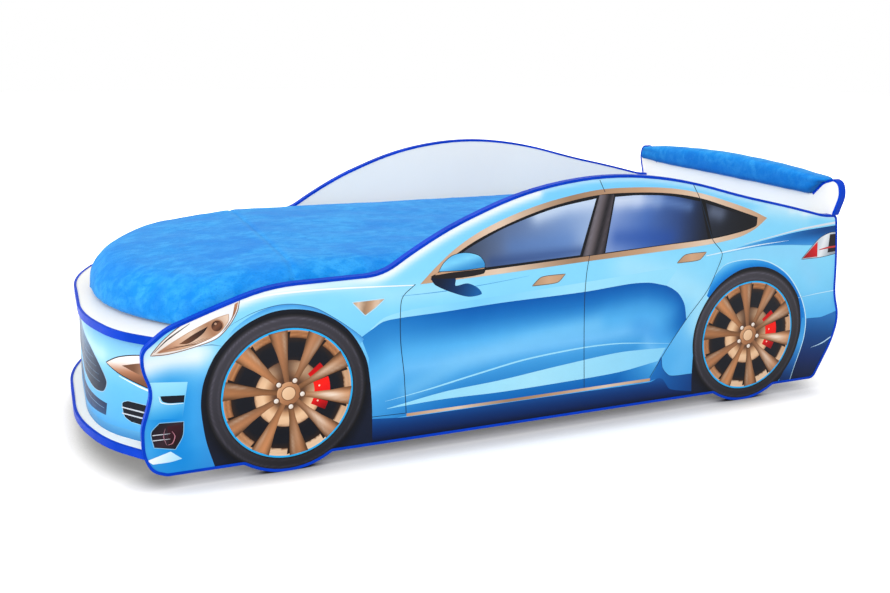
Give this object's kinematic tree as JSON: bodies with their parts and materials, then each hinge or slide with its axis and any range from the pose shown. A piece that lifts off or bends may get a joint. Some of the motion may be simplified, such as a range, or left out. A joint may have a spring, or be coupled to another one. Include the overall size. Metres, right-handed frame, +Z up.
{
  "type": "car bed",
  "caption": "Child bed in the shape of a car: flat side panels with a car print and blue edging, curved nose shelves, plush mattress and padded rear spoiler",
  "frame": {"origin": "middle of the bed's outline on the floor", "axes": "+X from nose to tail, +Y to the right side panel, +Z up"},
  "size_m": [2.0534, 0.8872, 0.6431],
  "materials": {
    "printed_board": "glossy film printed with a car side in light blue over a 16 mm board",
    "white_board": "white laminate",
    "edging": "soft deep blue T-profile",
    "printed_sheet": "thin sheet printed with a car nose",
    "birch": "bent birch plywood, clear",
    "pine": "planed softwood",
    "holder_plastic": "black moulded plastic",
    "zinc_steel": "zinc plated",
    "plush": "short blue plush over foam"
  },
  "bodies": {
    "bed_frame": {"side_panel_left": "printed_board", "side_panel_right": "printed_board", "side_edging_left": "edging", "side_edging_right": "edging", "hood_shelf": "white_board", "hood_edging": "edging", "splitter_shelf": "white_board", "splitter_edging": "edging", "nose_fascia": "printed_sheet", "front_crossboard": "white_board", "rear_board": "white_board", "rear_edging_left": "edging", "rear_edging_right": "edging", "side_rail_left": "pine", "side_rail_right": "pine", "slat_01": "birch", "slat_02": "birch", "slat_03": "birch", "slat_04": "birch", "slat_05": "birch", "slat_06": "birch", "slat_07": "birch", "slat_08": "birch", "slat_09": "birch", "slat_10": "birch", "slat_11": "birch", "slat_12": "birch", "slat_13": "birch", "slat_holders_left": "holder_plastic", "slat_holders_right": "holder_plastic", "corner_brackets": "zinc_steel", "bracket_screws": "zinc_steel", "rail_screws": "zinc_steel", "shelf_screws": "zinc_steel"},
    "mattress_body": {"mattress": "plush"},
    "spoiler": {"spoiler_cushion": "plush", "spoiler_core": "birch", "spoiler_dowels": "birch"}
  },
  "joints": [
    {"name": "mattress_lift", "type": "slide", "parent": "bed_frame", "child": "mattress_body", "axis": [0, 0, 1], "range_m": [0, 0.07]},
    {"name": "spoiler_lift", "type": "slide", "parent": "bed_frame", "child": "spoiler", "axis": [0, 0, 1], "range_m": [0, 0.12]}
  ]
}
